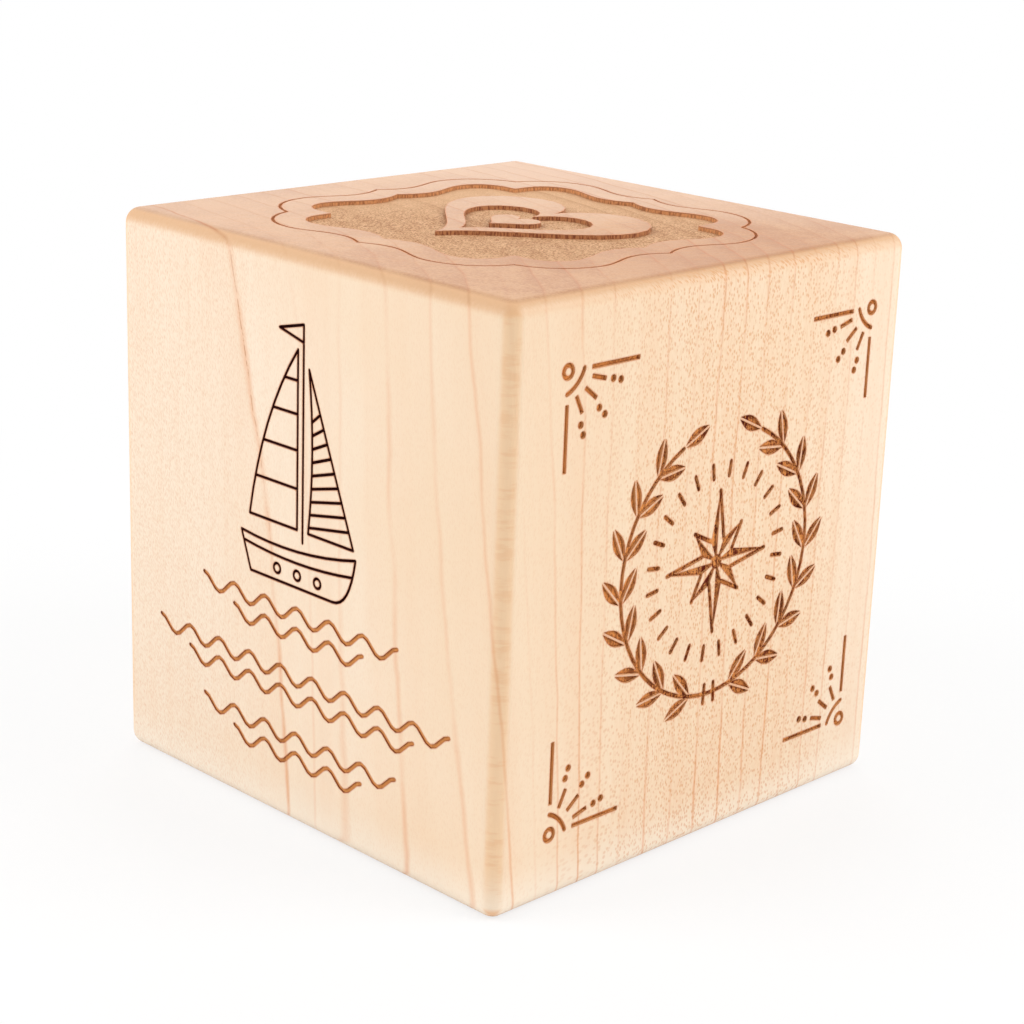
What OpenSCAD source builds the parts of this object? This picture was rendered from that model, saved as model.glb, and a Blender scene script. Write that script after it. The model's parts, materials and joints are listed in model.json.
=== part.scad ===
// Keepsake block of solid maple, engraved by burning on its top, front and right side.
// The origin is in the middle of the face that it rests on. The front faces -Y and the right side +X.
// Every engraving is a recess in the block, with a charred skin of its own on the floor.

/* [Block] */
// Width of the block, left to right
block_w = 86; // [80:1:110]
// Depth of the block, front to back
block_d = 86; // [80:1:110]
// Height of the block
block_h = 89; // [84:1:115]
// Radius of the rounded edges
edge_round = 2.4; // [1:0.1:5]

/* [Burning] */
// Thickness of the charred skin on the floor of every engraving
skin_t = 0.2; // [0.1:0.05:0.4]
// Depth of the plaque's field below the top
plaque_depth = 0.7; // [0.5:0.1:2]
// Depth of the border groove below the top
border_depth = 0.3; // [0.2:0.1:1]
// Depth of the drawing's lines
drawing_depth = 0.4; // [0.2:0.1:0.8]
// Depth of the ripples' lines
ripple_depth = 0.2; // [0.1:0.1:0.8]
// Depth of the right side's ornaments
ornament_depth = 0.4; // [0.2:0.1:1]

/* [Top plaque] */
// From the plaque's middle to the dips in its sides
plaque_dip = 25.3; // [24:0.1:27]
// Height of each lobe above the dips
lobe_rise = 2.4; // [1:0.1:3.4]
// From the middle of a side to the crest of its lobes
lobe_at = 15; // [12:0.5:17]
// From the plaque's middle to its notched corners, along both sides
notch_at = 20; // [18.5:0.5:21.5]
// Height of the pointed tip in the middle of each side
tip_rise = 1.7; // [0.5:0.1:2.5]
// Half the width of that tip
tip_half = 5.5; // [3:0.5:8]
// Gap between the plaque and the middle of the border groove
border_gap = 5; // [2.5:0.1:6]
// Width of the border groove
border_w = 0.5; // [0.3:0.1:1.4]
// Width of the raised heart
heart_w = 37; // [32:1:40]
// Width of the open field inside the heart
heart_field_w = 23; // [19:1:25]
// Width of the small raised heart in that field
heart_core_w = 9; // [5:1:12]
// How far the open field and the small heart sit below the middle of the raised heart
heart_drop = 1.5; // [0.5:0.1:2]

/* [Front drawing] */
// Width of the drawing's lines
drawing_line = 0.45; // [0.3:0.05:0.6]
// Height of the boat's rail above the middle of the face
rail_at = 0; // [-1:0.5:2]
// Length of the boat at its rail
hull_len = 26; // [22:1:32]
// Height of the hull
hull_h = 6; // [5:0.5:8]
// Rise of the bow above the stern
bow_rise = 1.6; // [0.5:0.1:2]
// Radius of the portholes
porthole_r = 0.75; // [0.5:0.05:0.9]
// Height of the mast's head above the rail
mast_h = 34; // [28:1:36]
// Length of the pennant
pennant_len = 5.4; // [3:0.2:8]
// Height of the pennant at the mast
pennant_h = 2.6; // [1.6:0.2:3.2]
// Width of the mainsail at its foot
mainsail_w = 11; // [8:0.5:13]
// Width of the foresail at its foot
foresail_w = 10; // [8:0.5:12]
// Clear gap between the sails and the mast, and between the rail and what stands above it
rig_gap = 0.8; // [0.5:0.1:1.2]
// Number of seams across the mainsail
mainsail_seams = 4; // [1:1:6]
// Number of shading lines on the foresail
foresail_shades = 9; // [3:1:10]

/* [Front ripples] */
// Width of the ripples' lines
ripple_line = 0.62; // [0.4:0.02:0.8]
// Length of one ripple
ripple_len = 7.4; // [6:0.2:8]
// Height of a ripple from trough to crest
ripple_h = 2.4; // [1:0.2:3]
// Distance between the two lines of a row
ripple_gap = 3.2; // [2:0.1:4]
// Clear gap between the keel and the first row
keel_gap = 2.7; // [1:0.1:3.5]
// Clear gap between two rows
row_gap = 3.8; // [2:0.1:4.4]

/* [Right side middle] */
// Width of the ornaments' lines
ornament_line = 0.65; // [0.4:0.05:0.8]
// Reach of the star's four long points
star_long = 11; // [8:0.5:12]
// Reach of the star's four short points
star_short = 7.4; // [5:0.2:8]
// From the star's middle to the dents between its points
star_dent = 3.6; // [2.4:0.1:4.2]
// Clear gap between the star and its ring of rays
star_gap = 1.4; // [0.8:0.1:2]
// Length of each ray
ray_len = 2.2; // [1:0.1:2.8]
// Number of rays
ray_count = 24; // [12:2:32]
// Clear gap between the rays and the wreath
wreath_gap = 0.6; // [0.3:0.1:1.5]
// Length of the wreath's leaves
leaf_len = 5.4; // [4:0.2:6]
// Width of the wreath's leaves
leaf_w = 2.3; // [1.6:0.1:2.6]
// Number of leaf pairs on each half of the wreath
leaf_pairs = 8; // [4:1:8]
// Angle of the opening at the top of the wreath
wreath_open = 50; // [30:2:80]

/* [Right side corners] */
// From the side edges of the face to the rings of the sunbursts
burst_side_inset = 9.5; // [7:0.1:10]
// From the top and bottom of the face to those rings
burst_end_inset = 10.6; // [8:0.1:12]
// How far the right side's design lies behind the middle of the face
design_shift = 1.4; // [-2:0.2:2]
// Radius of a sunburst's ring at the middle of its line
burst_ring_r = 0.9; // [0.7:0.05:1.3]
// Radius of the arc in front of the ring
burst_arc_r = 5.5; // [5:0.1:6]
// How far the middle of that arc lies behind the ring, both ways
burst_arc_back = 2; // [1.6:0.1:2.2]
// Clear gap between the arc and the straight bars
burst_gap = 1.2; // [0.9:0.1:1.6]
// Length of the straight bars
burst_bar_len = 9.6; // [6:0.2:11]
// Length of the rays
burst_ray_len = 2.9; // [1.5:0.1:3]
// Radius of the dots
burst_dot_r = 0.54; // [0.34:0.02:0.6]
// Clear gap between a ray and its first dot
burst_dot_gap = 0.9; // [0.3:0.1:1.2]
// Clear gap between the two dots
burst_dot_apart = 0.5; // [0.3:0.1:0.8]

/* [Hidden] */

// How far the cutting shapes reach out of the block
cut_clear = 1;

// Sides of full circles, and steps along each kind of curve
round_sides = 48;
tip_steps = 5;
lobe_steps = 8;
shoulder_steps = 6;
heart_steps = 44;
curve_steps = 8;
end_steps = 3;
ripple_steps = 8;
leaf_steps = 6;
burst_arc_steps = 8;
stem_steps = 48;

maple_colour = "#e9cfa9";
field_colour = "#c79a63";
drawing_colour = "#3a2217";
ripple_colour = "#a8743c";
ornament_colour = "#85552d";

// Turns a point about the origin
function turned(p, angle) = [p.x * cos(angle) - p.y * sin(angle), p.x * sin(angle) + p.y * cos(angle)];
// A point at an angle and a distance from the origin
function polar(r, angle) = [r * cos(angle), r * sin(angle)];
// A point on the curve that leaves a towards m and comes to b from m
function on_curve(a, m, b, t) = (1 - t) * (1 - t) * a + 2 * t * (1 - t) * m + t * t * b;
// Points along that curve
function curve(a, m, b) = [for (k = [0 : curve_steps]) on_curve(a, m, b, k / curve_steps)];
// Points along an arc about the origin
function arc(r, from, to, steps) = [for (k = [0 : steps]) polar(r, from + (to - from) * k / steps)];
// Direction of a path at its point k
function heading(path, k) =
    let (ahead = path[min(k + 1, len(path) - 1)], behind = path[max(k - 1, 0)])
    atan2(ahead.y - behind.y, ahead.x - behind.x);
// Points of one edge of a line of width w along a path
function line_edge(path, w) = [for (k = [0 : len(path) - 1]) path[k] + polar(w / 2, heading(path, k) - 90)];
// Points of the half circle that closes a line's end
function line_end(p, w, from) = [for (k = [1 : end_steps - 1]) p + polar(w / 2, from + 180 * k / end_steps)];
function reversed(path) = [for (k = [len(path) - 1 : -1 : 0]) path[k]];
// Outline of a line of width w along a path
function line_outline(path, w) =
    let (last = len(path) - 1)
    concat(
        line_edge(path, w),
        line_end(path[last], w, heading(path, last) - 90),
        line_edge(reversed(path), w),
        line_end(path[0], w, heading(path, 0) + 90)
    );

module line_along(path, w) {
    polygon(line_outline(path, w));
}

// A line with square ends
module bar_along(path, w) {
    polygon(concat(line_edge(path, w), line_edge(reversed(path), w)));
}

module dot(r) {
    circle(r, $fn = round_sides);
}

module ring(r, w) {
    difference() {
        dot(r + w / 2);
        dot(r - w / 2);
    }
}

// Each face's own plane, seen from outside with its middle at the origin
module on_top() {
    translate([0, 0, block_h]) children();
}

module on_front() {
    translate([0, -block_d / 2, block_h / 2]) rotate([90, 0, 0]) children();
}

module on_right() {
    translate([block_w / 2, design_shift, block_h / 2]) rotate([90, 0, 90]) children();
}

// Recess of a depth, with room under it for the skin
module recess(depth) {
    translate([0, 0, -depth - skin_t]) linear_extrude(depth + skin_t + cut_clear) children();
}

// Skin on the floor of such a recess
module skin(depth) {
    translate([0, 0, -depth - skin_t]) linear_extrude(skin_t) children();
}

// Angle at which a shoulder's arc meets the plaque's diagonal, or 0 where it drops straight to the corner
function shoulder_stop(r) = max(0, acos(min(1, (plaque_dip + lobe_rise - notch_at) / (sqrt(2) * r))) - 45);
// Half of one plaque side, from its tip to the notched corner, grown outwards
function half_side(grow) =
    let (dip = plaque_dip + grow, corner = notch_at + grow, shoulder = corner - lobe_at)
    let (stop = shoulder_stop(shoulder))
    concat(
        [for (k = [0 : tip_steps]) [tip_half * k / tip_steps, dip + tip_rise * pow(1 - k / tip_steps, 2)]],
        [for (k = [1 : lobe_steps]) [tip_half + (lobe_at - tip_half) * k / lobe_steps,
            dip + lobe_rise * (1 - cos(180 * k / lobe_steps)) / 2]],
        [for (k = [1 : shoulder_steps]) [lobe_at, dip + lobe_rise - shoulder]
            + polar(shoulder, 90 - (90 - stop) * k / shoulder_steps)],
        stop > 0 ? [] : [[corner, corner]]
    );
function plaque_side(grow) =
    let (half = half_side(grow))
    concat([for (k = [len(half) - 2 : -1 : 1]) [-half[k].x, half[k].y]], half);
function plaque_outline(grow) = [for (q = [0 : 3]) for (p = plaque_side(grow)) turned(p, -90 * q)];

// The heart curve spans this width in its own units, and this shift brings its middle to the origin
heart_span = 32;
heart_shift = 2.5;
function heart_outline(w) = [for (k = [0 : heart_steps - 1])
    let (a = 360 * k / heart_steps)
    w / heart_span * [16 * pow(sin(a), 3),
        13 * cos(a) - 5 * cos(2 * a) - 2 * cos(3 * a) - cos(4 * a) + heart_shift]];

module heart(w, drop) {
    translate([0, -drop]) polygon(heart_outline(w));
}

module plaque_field() {
    difference() {
        polygon(plaque_outline(0));
        heart(heart_w, 0);
    }
}

module heart_field() {
    difference() {
        heart(heart_field_w, heart_drop);
        heart(heart_core_w, heart_drop);
    }
}

module border_groove() {
    difference() {
        polygon(plaque_outline(border_gap + border_w / 2));
        polygon(plaque_outline(border_gap - border_w / 2));
    }
}

// Shape of the hull, with the bow to the right
rail_sag = 1.6;
stern_rake = 2.2;
bow_rake = 5;
bow_fullness = 0.75;
plank_drop = 1.5;
plank_bow_at = 0.8;
porthole_step = 4.6;
portholes = 3;
stern_rail = [-hull_len / 2, rail_at];
bow_rail = [hull_len / 2, rail_at + bow_rise];
keel_at = rail_at - hull_h;
stern_keel = [stern_rail.x + stern_rake, keel_at];
bow_keel = [bow_rail.x - bow_rake, keel_at];
bow_turn = [bow_keel.x + bow_fullness * bow_rake, keel_at];
rail_middle = [0, rail_at - rail_sag];
plank_stern = stern_rail + plank_drop / hull_h * (stern_keel - stern_rail);
plank_bow = on_curve(bow_keel, bow_turn, bow_rail, plank_bow_at);
plank_middle = rail_middle - [0, plank_drop];
porthole_at = (on_curve(plank_stern, plank_middle, plank_bow, 0.5).y + keel_at) / 2;

module boat_line(path) {
    line_along(path, drawing_line);
}

module boat_hull() {
    boat_line(curve(stern_rail, rail_middle, bow_rail));
    boat_line(curve(plank_stern, plank_middle, plank_bow));
    boat_line([stern_rail, stern_keel]);
    boat_line([stern_keel, bow_keel]);
    boat_line(curve(bow_keel, bow_turn, bow_rail));
    for (k = [0 : portholes - 1])
        translate([(k - (portholes - 1) / 2) * porthole_step, porthole_at]) ring(porthole_r, drawing_line);
}

// Shape of the rig, with clear gaps between its lines
mast_x = 1.2;
line_gap = rig_gap + drawing_line;
sail_foot_rise = 1.4;
foresail_head_drop = 2.5;
sail_belly = 2.6;
foresail_hollow = 1.6;
mast_head = [mast_x, rail_at + mast_h];
mast_foot = [mast_x, rail_at + line_gap];
sail_foot = rail_at + bow_rise + sail_foot_rise;
sail_head = mast_head.y - pennant_h - line_gap;
mainsail_head = [mast_x - line_gap, sail_head];
mainsail_tack = [mast_x - line_gap, sail_foot];
mainsail_clew = [mainsail_tack.x - mainsail_w, sail_foot];
mainsail_bulge = (mainsail_head + mainsail_clew) / 2 + [-sail_belly, sail_belly];
foresail_head = [mast_x + line_gap, sail_head - foresail_head_drop];
foresail_clew = [mast_x + line_gap, sail_foot];
foresail_tack = [foresail_clew.x + foresail_w, sail_foot];
foresail_bend = (foresail_head + foresail_clew) / 2 + [foresail_hollow, 0];
// Where the foresail's shading starts and ends along its edges, and its slant
shade_from = 0.25;
shade_to = 0.9;
shade_slant = 0.06;

module boat_mast() {
    pennant_tip = mast_head - [pennant_len, pennant_h / 2];
    pennant_root = mast_head - [0, pennant_h];
    boat_line([mast_foot, mast_head]);
    boat_line([mast_head, pennant_tip]);
    boat_line([pennant_tip, pennant_root]);
}

module mainsail() {
    boat_line(curve(mainsail_head, mainsail_bulge, mainsail_clew));
    boat_line([mainsail_head, mainsail_tack]);
    boat_line([mainsail_clew, mainsail_tack]);
    for (k = [1 : mainsail_seams]) {
        outer = on_curve(mainsail_head, mainsail_bulge, mainsail_clew, k / (mainsail_seams + 1));
        boat_line([outer, [mainsail_tack.x, outer.y]]);
    }
}

module foresail() {
    boat_line(curve(foresail_head, foresail_bend, foresail_clew));
    boat_line([foresail_head, foresail_tack]);
    boat_line([foresail_clew, foresail_tack]);
    for (k = [0 : foresail_shades - 1]) {
        along = shade_from + (shade_to - shade_from) * k / (foresail_shades - 1);
        outer = foresail_head + along * (foresail_tack - foresail_head);
        inner = on_curve(foresail_head, foresail_bend, foresail_clew, along + shade_slant);
        boat_line([inner, outer]);
    }
}

// Rows of ripples, numbered from the top, each a long line over a shorter one
waves_in_row = [6, 9, 6];
short_line_cut = 2;
row_h = ripple_gap + ripple_h + ripple_line;
function row_at(row) = keel_at - drawing_line / 2 - keel_gap - row_h / 2 - row * (row_h + row_gap);
function ripple_path(waves, y) = [for (k = [0 : waves * ripple_steps])
    [(k / ripple_steps - waves / 2) * ripple_len, y + ripple_h / 2 * cos(360 * k / ripple_steps)]];

module ripples(row) {
    waves = waves_in_row[row];
    line_along(ripple_path(waves, row_at(row) + ripple_gap / 2), ripple_line);
    line_along(ripple_path(waves - short_line_cut, row_at(row) - ripple_gap / 2), ripple_line);
}

// Star of four long and four short points, one half of each point burnt and the other outlined
star_points = 8;
star_hub_r = 1.1;
star_pitch = 360 / star_points;
function star_tip(k) = polar(k % 2 == 0 ? star_long : star_short, k * star_pitch);
function star_dent_at(k) = polar(star_dent, (k + 0.5) * star_pitch);

module star() {
    dot(star_hub_r);
    for (k = [0 : star_points - 1]) {
        polygon([[0, 0], star_tip(k), star_dent_at(k)]);
        line_along([star_tip(k), star_dent_at(k - 1)], ornament_line);
    }
}

rays_at = star_long + star_gap + ornament_line;

module rays() {
    for (k = [0 : ray_count - 1]) {
        angle = (k + 0.5) * 360 / ray_count;
        line_along([polar(rays_at, angle), polar(rays_at + ray_len, angle)], ornament_line);
    }
}

// Wreath of leaf pairs along one stem, tied at the bottom and open at the top
leaf_lean = 36;
leaf_base = 0.5;
vein_w = 0.35;
bare_stem = 12;
tie_turn = 3;
tie_len = 3;
leaf_reach = (leaf_base + leaf_len) * sin(leaf_lean) + leaf_w / 2;
wreath_r = rays_at + ray_len + ornament_line / 2 + wreath_gap + leaf_reach;
stem_half = 180 - wreath_open / 2;

// Half of a leaf that starts at the origin and points along +X
module half_leaf() {
    polygon([for (k = [0 : leaf_steps]) [leaf_base + leaf_len * k / leaf_steps,
        vein_w / 2 + (leaf_w - vein_w) / 2 * sin(180 * k / leaf_steps)]]);
}

module leaf() {
    half_leaf();
    mirror([0, 1, 0]) half_leaf();
}

// One half of the wreath, counted in degrees from the bottom
module wreath_half() {
    for (k = [0 : leaf_pairs - 1], side = [-1, 1]) {
        angle = bare_stem + (stem_half - bare_stem) * k / leaf_pairs;
        rotate(angle) translate([0, -wreath_r]) rotate(side * leaf_lean) leaf();
    }
    rotate(stem_half) translate([0, -wreath_r]) leaf();
    rotate(tie_turn) line_along([[0, -wreath_r - tie_len / 2], [0, -wreath_r + tie_len / 2]], ornament_line);
}

module wreath() {
    line_along(arc(wreath_r, -90 - stem_half, -90 + stem_half, stem_steps), ornament_line);
    wreath_half();
    mirror([1, 0, 0]) wreath_half();
}

// Sunburst for the lower left corner of a face, with its ring at the origin
burst_arc_half = 25;
burst_arc = arc(burst_arc_r, 45 - burst_arc_half, 45 + burst_arc_half, burst_arc_steps);
burst_arc_reach = sqrt(pow(burst_arc_r, 2) - pow(burst_arc_back, 2)) - burst_arc_back;
burst_out = burst_arc_reach + ornament_line / 2 + burst_gap;
first_dot = burst_ray_len + burst_dot_gap + burst_dot_r;
dot_step = 2 * burst_dot_r + burst_dot_apart;
// Turn of each ray, turn of its two dots, and how much further out than the bars the ray starts
burst_ray_turns = [15, 38, 64];
burst_dot_turns = [14, 43, 70];
burst_ray_starts = [0.3, -0.2, -0.6];

module sunburst() {
    ring(burst_ring_r, ornament_line);
    translate(-burst_arc_back * [1, 1]) line_along(burst_arc, ornament_line);
    for (angle = [0, 90])
        bar_along([polar(burst_out, angle), polar(burst_out + burst_bar_len, angle)], ornament_line);
    for (k = [0 : len(burst_ray_turns) - 1]) {
        start = burst_out + burst_ray_starts[k];
        ray = burst_ray_turns[k];
        bar_along([polar(start, ray), polar(start + burst_ray_len, ray)], ornament_line);
        for (n = [0, 1])
            translate(polar(start + first_dot + n * dot_step, burst_dot_turns[k])) dot(burst_dot_r);
    }
}

// A sunburst in one corner of the right side, mirrored where that corner is at the back or at the top
module corner_sunburst(back, top) {
    along = block_d / 2 - burst_side_inset;
    up = block_h / 2 - burst_end_inset;
    mirror([back, 0, 0]) mirror([0, top, 0]) translate([-along, -up]) sunburst();
}

module rounded_panel(w, h) {
    square([w - 2 * edge_round, h], center = true);
    square([w, h - 2 * edge_round], center = true);
    for (x = [-1, 1], y = [-1, 1])
        translate([x * (w / 2 - edge_round), y * (h / 2 - edge_round)]) dot(edge_round);
}

// The blank with every edge rounded over along its whole length
module edged_blank() {
    intersection() {
        linear_extrude(block_h) rounded_panel(block_w, block_d);
        translate([0, block_d / 2, block_h / 2]) rotate([90, 0, 0])
            linear_extrude(block_d) rounded_panel(block_w, block_h);
        translate([-block_w / 2, 0, block_h / 2]) rotate([90, 0, 90])
            linear_extrude(block_w) rounded_panel(block_d, block_h);
    }
}

// What a ball at one corner leaves outside it. The signs x, y and z choose the corner.
module corner_waste(x, y, z) {
    translate([x * (block_w / 2 - edge_round), y * (block_d / 2 - edge_round),
               block_h / 2 + z * (block_h / 2 - edge_round)])
        difference() {
            translate(edge_round * [x, y, z]) cube(2 * edge_round, center = true);
            sphere(edge_round, $fn = round_sides);
        }
}

// The blank with its corners rounded to balls as well
module blank() {
    difference() {
        edged_blank();
        for (x = [-1, 1], y = [-1, 1], z = [-1, 1]) corner_waste(x, y, z);
    }
}

module maple_block() {
    color(maple_colour) difference() {
        blank();
        on_top() recess(plaque_depth) {
            plaque_field();
            heart_field();
        }
        on_top() recess(border_depth) border_groove();
        on_front() recess(drawing_depth) {
            boat_hull();
            boat_mast();
            mainsail();
            foresail();
        }
        on_front() recess(ripple_depth) for (row = [0 : len(waves_in_row) - 1]) ripples(row);
        on_right() recess(ornament_depth) {
            star();
            rays();
            wreath();
            for (back = [0, 1], top = [0, 1]) corner_sunburst(back, top);
        }
    }
}

module field_skin() {
    color(field_colour) on_top() skin(plaque_depth) children();
}

module drawing_skin() {
    color(drawing_colour) on_front() skin(drawing_depth) children();
}

module ripple_skin(row) {
    color(ripple_colour) on_front() skin(ripple_depth) ripples(row);
}

module ornament_skin() {
    color(ornament_colour) on_right() skin(ornament_depth) children();
}

module plaque_field_skin() { field_skin() plaque_field(); }
module heart_field_skin() { field_skin() heart_field(); }
module border_groove_skin() { color(ripple_colour) on_top() skin(border_depth) border_groove(); }
module boat_hull_skin() { drawing_skin() boat_hull(); }
module boat_mast_skin() { drawing_skin() boat_mast(); }
module mainsail_skin() { drawing_skin() mainsail(); }
module foresail_skin() { drawing_skin() foresail(); }
module upper_ripples_skin() { ripple_skin(0); }
module middle_ripples_skin() { ripple_skin(1); }
module lower_ripples_skin() { ripple_skin(2); }
module star_skin() { ornament_skin() star(); }
module rays_skin() { ornament_skin() rays(); }
module wreath_skin() { ornament_skin() wreath(); }
module lower_front_sunburst_skin() { ornament_skin() corner_sunburst(0, 0); }
module lower_back_sunburst_skin() { ornament_skin() corner_sunburst(1, 0); }
module upper_back_sunburst_skin() { ornament_skin() corner_sunburst(1, 1); }
module upper_front_sunburst_skin() { ornament_skin() corner_sunburst(0, 1); }

maple_block();
plaque_field_skin();
heart_field_skin();
border_groove_skin();
boat_hull_skin();
boat_mast_skin();
mainsail_skin();
foresail_skin();
upper_ripples_skin();
middle_ripples_skin();
lower_ripples_skin();
star_skin();
rays_skin();
wreath_skin();
upper_front_sunburst_skin();
upper_back_sunburst_skin();
lower_front_sunburst_skin();
lower_back_sunburst_skin();
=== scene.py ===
# %% [markdown]
# A maple keepsake block
#
# The object is one solid piece of hard maple with its edges rounded over, and three of its faces are
# engraved by burning. The shapes are already exact: the solids come from the packed model, in metres,
# with the origin under the middle of the block. So this lesson is about wood. A photograph wrapped round
# the block would show seams at every edge, and so the maple here is a solid texture: a recipe that gives
# a colour to every point in space, as a real log does, and the block is simply sawn out of it.

# %% Load the packed block
import json
import math

import bpy
from mathutils import Color, Matrix, Vector


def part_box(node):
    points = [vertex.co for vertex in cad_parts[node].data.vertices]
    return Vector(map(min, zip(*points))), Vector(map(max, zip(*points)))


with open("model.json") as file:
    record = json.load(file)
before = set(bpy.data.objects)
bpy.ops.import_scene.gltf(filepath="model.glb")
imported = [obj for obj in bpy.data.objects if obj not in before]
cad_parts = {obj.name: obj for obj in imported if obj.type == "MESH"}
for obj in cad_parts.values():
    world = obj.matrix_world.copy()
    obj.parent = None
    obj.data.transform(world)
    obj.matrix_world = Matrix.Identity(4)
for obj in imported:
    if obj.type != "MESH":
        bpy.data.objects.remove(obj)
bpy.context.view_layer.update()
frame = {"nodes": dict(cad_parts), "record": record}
nodes = frame["nodes"]
scene = bpy.context.scene
MM = 0.001

# %% [markdown]
# The camera
#
# A picture of a box gives its own camera away: the edges that are parallel on the block meet in vanishing
# points, and these fix the lens and the viewing angle. The camera stands a little above the top face,
# looks at the corner between the front and the right side, and is tipped by two degrees. It is placed
# from angles and a distance, because those are the numbers that a photographer would give.

# %% Place the camera
VIEW_AZIMUTH = math.radians(44.82)
VIEW_ELEVATION = math.radians(17.05)
VIEW_DISTANCE = 372.1 * MM
VIEW_ROLL = math.radians(2.05)
LENS_MM = 82.0
SENSOR_MM = 36
AIM = Vector((1.37, 0.29, 42.08)) * MM

block_low, block_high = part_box("maple_block")
block_size = block_high - block_low
block_middle = (block_low + block_high) / 2


def seen_from(azimuth, elevation):
    """Direction from the block towards a viewer. Azimuth 0 is straight in front of the drawing."""
    flat = math.cos(elevation)
    return Vector((flat * math.sin(azimuth), -flat * math.cos(azimuth), math.sin(elevation)))


def look_at(thing, place, aim, roll=0.0):
    """Stands a camera or lamp at a place, turned to its aim and then rolled about its own line of sight."""
    turn = (aim - place).to_track_quat("-Z", "Y").to_matrix() @ Matrix.Rotation(roll, 3, "Z")
    thing.matrix_world = Matrix.Translation(place) @ turn.to_4x4()


def add_to_scene(name, data):
    """Makes an object of this data and links it into the scene."""
    made = bpy.data.objects.new(name, data)
    scene.collection.objects.link(made)
    return made


camera_data = bpy.data.cameras.new("camera")
camera_data.lens = LENS_MM
camera_data.sensor_width = SENSOR_MM
camera = add_to_scene("camera", camera_data)
camera_place = block_middle + VIEW_DISTANCE * seen_from(VIEW_AZIMUTH, VIEW_ELEVATION)
look_at(camera, camera_place, AIM, VIEW_ROLL)
scene.camera = camera

print("camera at mm:", [round(c / MM, 1) for c in camera_place])

# %% [markdown]
# White floor and soft light
#
# The block stands on a white sweep with light from all round, so its shadow is only a thin line where it
# touches the floor. The world gives that even light. Two large soft lamps, one for each visible side,
# model the faces a little, and a weaker one behind lifts the far edges. To the camera the floor is nearly
# plain white, and near the block a share of ordinary white paint stays in it, so that the contact shadow
# still shows.

# %% White studio
WORLD_LIGHT = 0.46
WHITE = (1, 1, 1, 1)

scene.view_settings.view_transform = "Standard"


def seen_directly(tree):
    """1 where the camera, a mirror or a glass looks straight at it, and 0 for light that bounces."""
    path = tree.nodes.new("ShaderNodeLightPath")
    seen = path.outputs["Is Camera Ray"]
    for kind in ("Is Glossy Ray", "Is Transmission Ray"):
        either = tree.nodes.new("ShaderNodeMath")
        either.operation = "MAXIMUM"
        tree.links.new(seen, either.inputs[0])
        tree.links.new(path.outputs[kind], either.inputs[1])
        seen = either.outputs[0]
    return seen


def blended(tree, share, first, second, output):
    """Mixes two shaders by a share, and sends the mix to the output."""
    mix = tree.nodes.new("ShaderNodeMixShader")
    for socket, source in zip(mix.inputs, (share, first, second)):
        tree.links.new(source, socket)
    tree.links.new(mix.outputs[0], tree.nodes[output].inputs["Surface"])


def glow(tree, kind, strength):
    """An even white glow of this strength."""
    node = tree.nodes.new(kind)
    node.inputs["Color"].default_value = WHITE
    node.inputs["Strength"].default_value = strength
    return node.outputs[0]


world = bpy.data.worlds.new("white_studio")
world.use_nodes = True
scene.world = world
sky = world.node_tree
even_light = glow(sky, "ShaderNodeBackground", WORLD_LIGHT)
blended(sky, seen_directly(sky), even_light, glow(sky, "ShaderNodeBackground", 1.0), "World Output")
print("world light:", WORLD_LIGHT)

# %% White floor
FLOOR_SIZE = 6.0
FLOOR_PAINT = (0.9, 0.9, 0.9, 1)
GLOW_NEAR = 0.75
GLOW_FROM = 0.06
GLOW_ALL = 0.22

floor_material = bpy.data.materials.new("white_sweep")
floor_material.use_nodes = True
sweep = floor_material.node_tree
paint = sweep.nodes.new("ShaderNodeBsdfDiffuse")
paint.inputs["Color"].default_value = FLOOR_PAINT

spot = sweep.nodes.new("ShaderNodeNewGeometry")
away = sweep.nodes.new("ShaderNodeVectorMath")
away.operation = "LENGTH"
sweep.links.new(spot.outputs["Position"], away.inputs[0])
whiten = sweep.nodes.new("ShaderNodeMapRange")
whiten.inputs["From Min"].default_value = GLOW_FROM
whiten.inputs["From Max"].default_value = GLOW_ALL
whiten.inputs["To Min"].default_value = GLOW_NEAR
whiten.inputs["To Max"].default_value = 1.0
sweep.links.new(away.outputs["Value"], whiten.inputs["Value"])
share = sweep.nodes.new("ShaderNodeMath")
share.operation = "MULTIPLY"
sweep.links.new(whiten.outputs[0], share.inputs[0])
sweep.links.new(seen_directly(sweep), share.inputs[1])
white_glow = glow(sweep, "ShaderNodeEmission", 1.0)
blended(sweep, share.outputs[0], paint.outputs[0], white_glow, "Material Output")

half_floor = FLOOR_SIZE / 2
floor_corners = [(x * half_floor, y * half_floor, 0) for x, y in ((-1, -1), (1, -1), (1, 1), (-1, 1))]
floor_mesh = bpy.data.meshes.new("floor")
floor_mesh.from_pydata(floor_corners, [], [(0, 1, 2, 3)])
floor_mesh.materials.append(floor_material)
floor = add_to_scene("floor", floor_mesh)
print("floor:", FLOOR_SIZE, "m wide")

# %% Soft lamps
LAMP_SIZE = 0.45
LAMP_DISTANCE = 0.7
LAMPS = {
    "left_softbox": {"azimuth": -30, "elevation": 38, "watts": 2.6},
    "right_softbox": {"azimuth": 120, "elevation": 38, "watts": 2.7},
    "back_softbox": {"azimuth": 225, "elevation": 30, "watts": 1.2},
}

for name, lamp in LAMPS.items():
    light = bpy.data.lights.new(name, "AREA")
    light.shape = "SQUARE"
    light.size = LAMP_SIZE
    light.energy = lamp["watts"]
    direction = seen_from(math.radians(lamp["azimuth"]), math.radians(lamp["elevation"]))
    look_at(add_to_scene(name, light), block_middle + LAMP_DISTANCE * direction, block_middle)
print("lamps:", ", ".join(LAMPS))

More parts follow.
